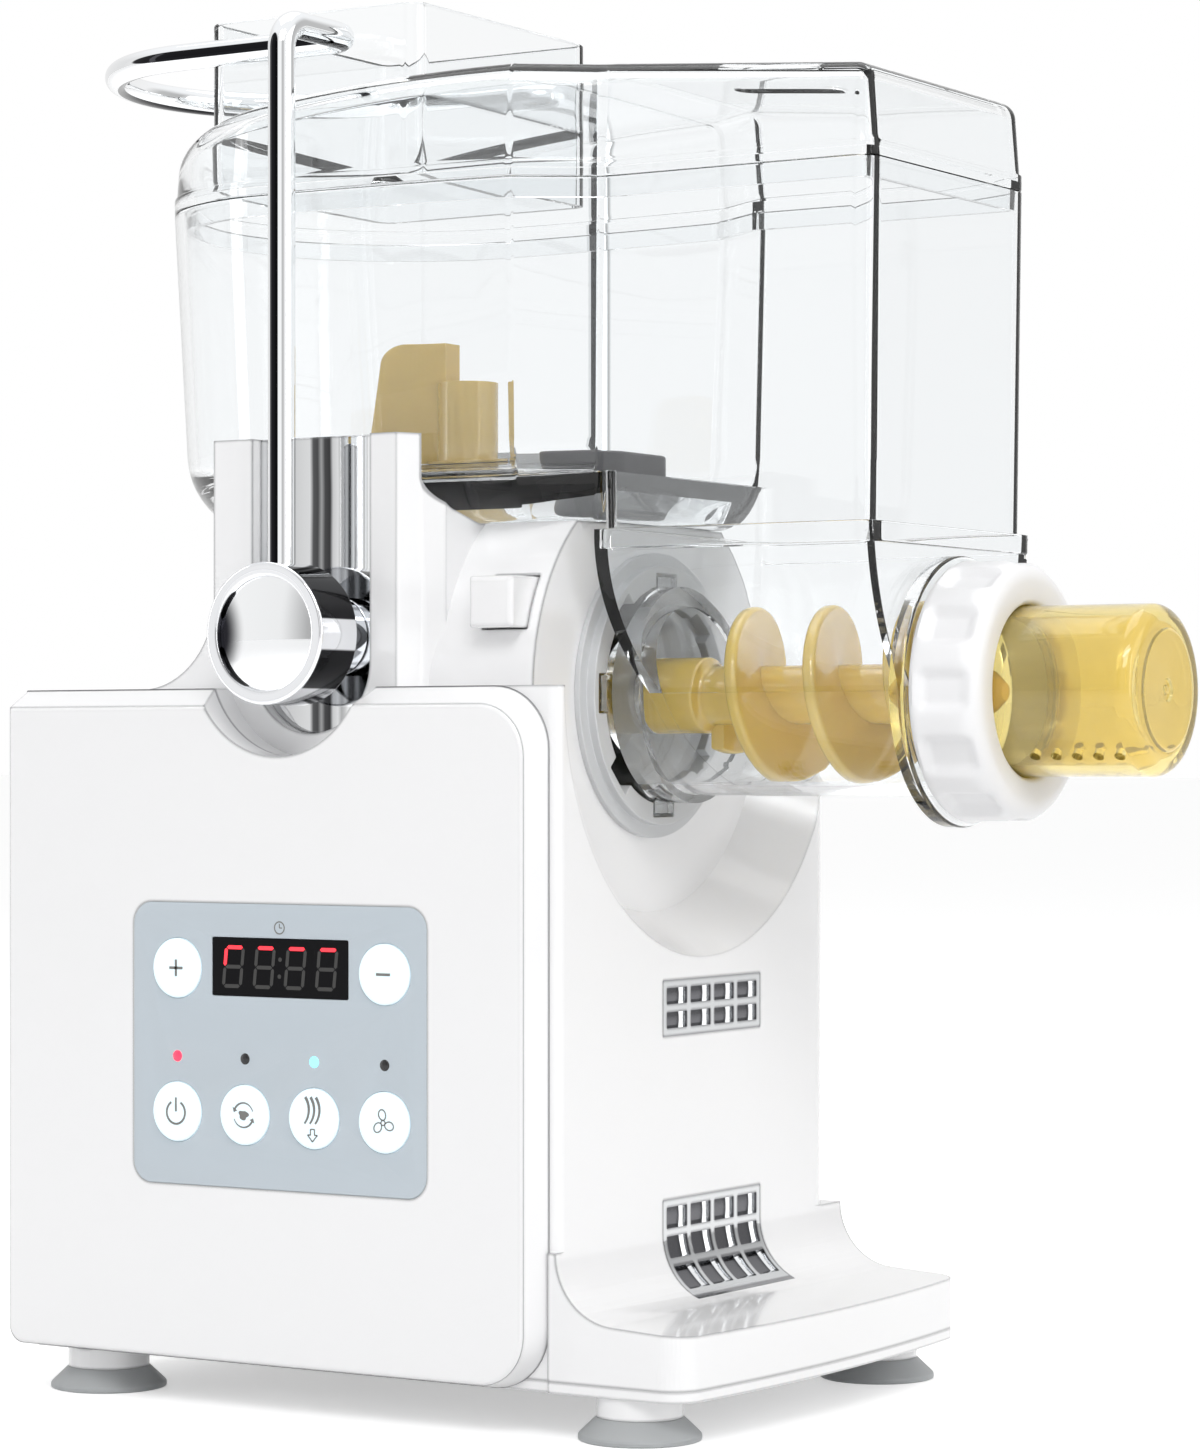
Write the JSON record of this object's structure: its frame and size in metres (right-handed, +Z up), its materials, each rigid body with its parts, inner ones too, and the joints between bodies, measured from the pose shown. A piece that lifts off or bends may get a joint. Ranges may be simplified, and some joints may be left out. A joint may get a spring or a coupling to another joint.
{
  "type": "electric pasta maker",
  "caption": "Countertop pasta extruder with clear kneading hopper and lid, screw chamber, die, chrome carrying bail and push-button panel.",
  "frame": {"origin": "under the middle of the bounding box, on the surface that the machine stands on", "axes": "+X along the extrusion axis towards the die, +Y from the control side to the far side, +Z up"},
  "size_m": [0.2781, 0.15, 0.3203],
  "materials": {
    "white_gloss": "glossy white moulded ABS",
    "steel": "satin steel",
    "silicone": "translucent grey silicone",
    "grey_plastic": "satin light grey moulding",
    "dark_plastic": "matt dark grey moulding",
    "chrome": "mirror chrome plating",
    "panel_grey": "satin grey-blue panel",
    "display_black": "dark display lens",
    "lens_red": "clear light pipe",
    "circuit_board": "green laminate",
    "button_white": "pale backlit cap",
    "clear_plastic": "clear polycarbonate",
    "amber_plastic": "glossy amber plastic",
    "gear_nylon": "natural nylon",
    "motor_metal": "zinc plated steel",
    "bronze": "sintered bronze"
  },
  "bodies": {
    "machine": {"housing_shell": "white_gloss", "upper_vent_grille": "white_gloss", "lower_vent_grille": "white_gloss", "base_plate": "white_gloss", "base_screws": "steel", "suction_cup_front_near": "silicone", "suction_cup_front_far": "silicone", "suction_cup_rear_near": "silicone", "suction_cup_rear_far": "silicone", "bayonet_collar": "grey_plastic", "coupling_plate": "dark_plastic", "pivot_pin_near": "chrome", "pivot_pin_far": "chrome", "pivot_collar_near": "chrome", "pivot_collar_far": "chrome", "pillar_trim_near": "chrome", "pillar_trim_far": "chrome", "control_cover": "white_gloss", "control_panel": "panel_grey", "display_window": "display_black", "display_module": "dark_plastic", "indicator_lights": "lens_red", "control_board": "circuit_board", "hopper": "clear_plastic", "outlet_threshold": "dark_plastic", "extrude_motor": "motor_metal", "drive_frame": "steel", "spindle_bearing": "bronze", "knead_gearmotor": "motor_metal", "shaft_seal": "silicone", "fan_frame": "dark_plastic", "power_board": "circuit_board", "mains_gland": "dark_plastic"},
    "bail": {"bail_rod": "chrome", "bail_knob_near": "chrome", "bail_knob_far": "chrome", "knob_cap_near": "chrome", "knob_cap_far": "chrome"},
    "lid": {"lid": "clear_plastic"},
    "chamber": {"extrusion_chamber": "clear_plastic", "extrusion_die": "amber_plastic"},
    "nut": {"ring_nut": "white_gloss"},
    "screw": {"auger": "amber_plastic"},
    "spindle": {"drive_spindle": "steel", "drive_gear": "gear_nylon"},
    "pinion": {"motor_pinion": "gear_nylon"},
    "kneader": {"knead_shaft": "steel", "kneading_paddle": "amber_plastic"},
    "fan": {"fan_rotor": "dark_plastic"},
    "lock": {"lock_button": "white_gloss"},
    "time_up_button_cap": {"time_up_button": "button_white"},
    "time_down_button_cap": {"time_down_button": "button_white"},
    "power_button_cap": {"power_button": "button_white"},
    "knead_button_cap": {"knead_button": "button_white"},
    "extrude_button_cap": {"extrude_button": "button_white"},
    "fan_button_cap": {"fan_button": "button_white"}
  },
  "joints": [
    {"name": "bail_swing", "type": "hinge", "parent": "machine", "child": "bail", "pos_m": [-0.04655, 0, 0.1749], "axis": [0, 1, 0], "range_deg": [-90, 0]},
    {"name": "lid_lift", "type": "slide", "parent": "machine", "child": "lid", "axis": [0, 0, 1], "range_m": [0, 0.005]},
    {"name": "chamber_pull", "type": "slide", "parent": "machine", "child": "chamber", "axis": [1, 0, 0], "range_m": [0, 0.06]},
    {"name": "ring_nut_turn", "type": "hinge", "parent": "chamber", "child": "nut", "pos_m": [0.09865, 0, 0.1617], "axis": [1, 0, 0], "range_deg": [0, 90]},
    {"name": "spindle_turn", "type": "hinge", "parent": "machine", "child": "spindle", "pos_m": [-0.00635, 0, 0.1617], "axis": [1, 0, 0], "continuous": true},
    {"name": "screw_turn", "type": "hinge", "parent": "chamber", "child": "screw", "pos_m": [0.04365, 0, 0.1617], "axis": [1, 0, 0], "continuous": true},
    {"name": "pinion_turn", "type": "hinge", "parent": "machine", "child": "pinion", "pos_m": [-0.01635, 0, 0.1122], "axis": [1, 0, 0], "continuous": true},
    {"name": "kneader_turn", "type": "hinge", "parent": "machine", "child": "kneader", "pos_m": [-0.04135, 0, 0.213], "axis": [0, 0, 1], "continuous": true},
    {"name": "fan_turn", "type": "hinge", "parent": "machine", "child": "fan", "pos_m": [0.00565, 0, 0.062], "axis": [1, 0, 0], "continuous": true},
    {"name": "lock_press", "type": "slide", "parent": "machine", "child": "lock", "axis": [0, 1, 0], "range_m": [0, 0.003], "stiffness_N_per_m": 400},
    {"name": "time_up_press", "type": "slide", "parent": "machine", "child": "time_up_button_cap", "axis": [0, 1, 0], "range_m": [0, 0.0006], "stiffness_N_per_m": 500},
    {"name": "time_down_press", "type": "slide", "parent": "machine", "child": "time_down_button_cap", "axis": [0, 1, 0], "range_m": [0, 0.0006], "stiffness_N_per_m": 500},
    {"name": "power_press", "type": "slide", "parent": "machine", "child": "power_button_cap", "axis": [0, 1, 0], "range_m": [0, 0.0006], "stiffness_N_per_m": 500},
    {"name": "knead_press", "type": "slide", "parent": "machine", "child": "knead_button_cap", "axis": [0, 1, 0], "range_m": [0, 0.0006], "stiffness_N_per_m": 500},
    {"name": "extrude_press", "type": "slide", "parent": "machine", "child": "extrude_button_cap", "axis": [0, 1, 0], "range_m": [0, 0.0006], "stiffness_N_per_m": 500},
    {"name": "fan_press", "type": "slide", "parent": "machine", "child": "fan_button_cap", "axis": [0, 1, 0], "range_m": [0, 0.0006], "stiffness_N_per_m": 500}
  ],
  "couplings": [
    {"joint": "screw_turn", "follows": "spindle_turn", "ratio": 1},
    {"joint": "pinion_turn", "follows": "spindle_turn", "ratio": -2.1429}
  ]
}
